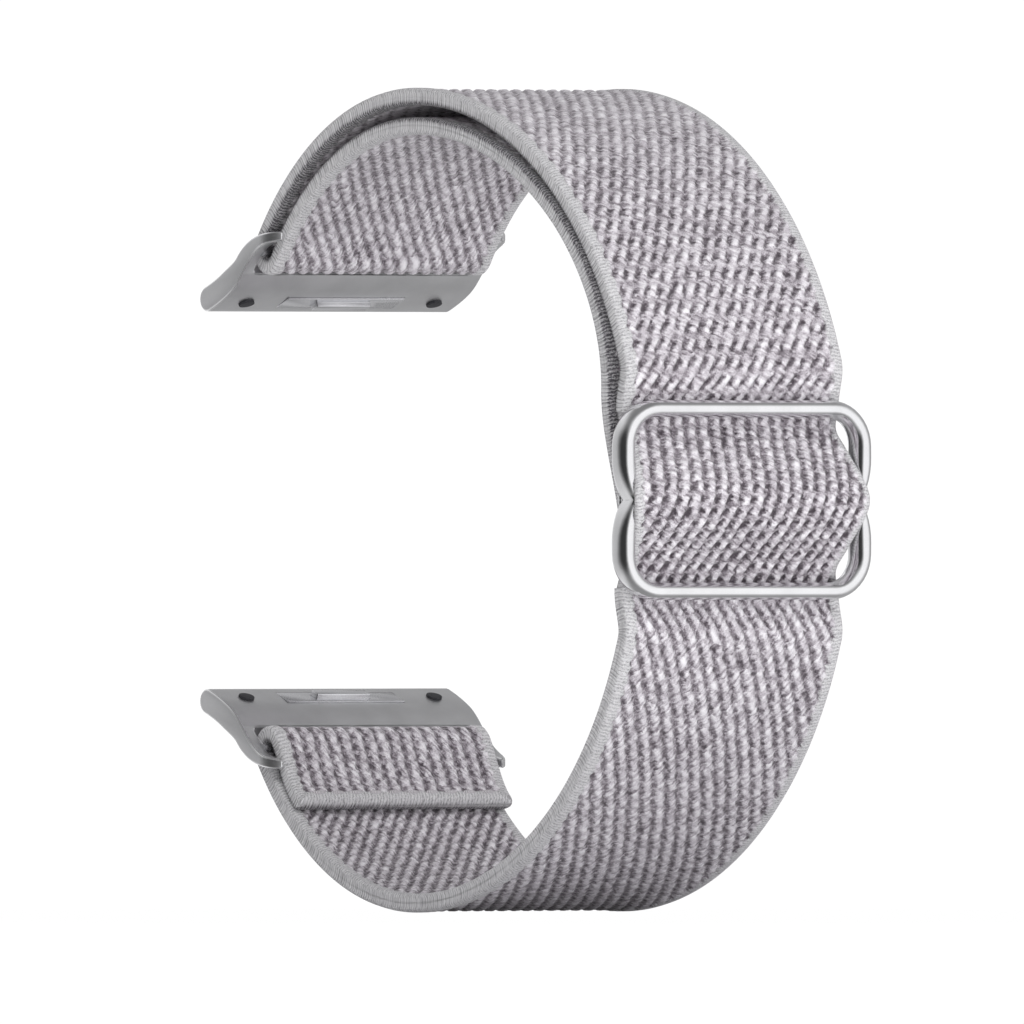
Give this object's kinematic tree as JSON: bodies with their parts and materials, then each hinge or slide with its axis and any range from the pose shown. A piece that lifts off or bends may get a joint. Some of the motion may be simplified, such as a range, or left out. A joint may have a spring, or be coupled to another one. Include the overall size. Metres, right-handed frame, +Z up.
{
  "type": "watch strap",
  "caption": "Stretch nylon watch strap: a webbing loop with a sliding wire-frame buckle and hinged metal lug adapters with sprung latches.",
  "frame": {"origin": "the watch seat: midway between the lug rails, in the middle of the strap's width", "axes": "+X across the strap's width, +Y from the watch to the buckle, +Z up towards the twelve o'clock end"},
  "size_m": [0.028, 0.0732, 0.0762],
  "materials": {
    "webbing": "ribbed elastic nylon weave with an overlocked edge",
    "thread": "sewing thread",
    "buckle_steel": "polished steel",
    "adapter_metal": "satin, bead blasted",
    "latch_steel": "smooth steel",
    "pad_rubber": "matt"
  },
  "bodies": {
    "webbing": {"upper_run": "webbing", "upper_slide_zone": "webbing", "lower_slide_zone": "webbing", "lower_run": "webbing", "lower_fold": "webbing", "fold_seam": "thread", "inner_layer": "webbing"},
    "buckle": {"buckle_frame": "buckle_steel", "buckle_centre_bar": "buckle_steel", "buckle_pass": "webbing", "sewn_end": "webbing", "sewn_end_seam": "thread"},
    "upper_lug": {"upper_adapter": "adapter_metal", "upper_latch_spring": "latch_steel", "upper_latch_cover": "latch_steel", "upper_rail_pads": "pad_rubber"},
    "lower_lug": {"lower_adapter": "adapter_metal", "lower_latch_spring": "latch_steel", "lower_latch_cover": "latch_steel", "lower_rail_pads": "pad_rubber"},
    "upper_button": {"upper_latch": "latch_steel"},
    "lower_button": {"lower_latch": "latch_steel"}
  },
  "joints": [
    {"name": "buckle_adjust", "type": "hinge", "parent": "webbing", "child": "buckle", "pos_m": [0, 0.031, 0], "axis": [1, 0, 0], "range_deg": [-15, 15], "deforming": ["upper_slide_zone", "lower_slide_zone", "inner_layer"]},
    {"name": "upper_adapter_pivot", "type": "hinge", "parent": "webbing", "child": "upper_lug", "pos_m": [0, 0.00665, 0.0232], "axis": [1, 0, 0], "range_deg": [-35, 45]},
    {"name": "lower_adapter_pivot", "type": "hinge", "parent": "webbing", "child": "lower_lug", "pos_m": [0, 0.00665, -0.0232], "axis": [1, 0, 0], "range_deg": [-45, 35]},
    {"name": "upper_latch_press", "type": "slide", "parent": "upper_lug", "child": "upper_button", "axis": [0, -0.342, 0.9397], "range_m": [0, 0.0005], "stiffness_N_per_m": 400, "deforming": ["upper_latch_spring"]},
    {"name": "lower_latch_press", "type": "slide", "parent": "lower_lug", "child": "lower_button", "axis": [0, -0.342, -0.9397], "range_m": [0, 0.0005], "stiffness_N_per_m": 400, "deforming": ["lower_latch_spring"]}
  ]
}
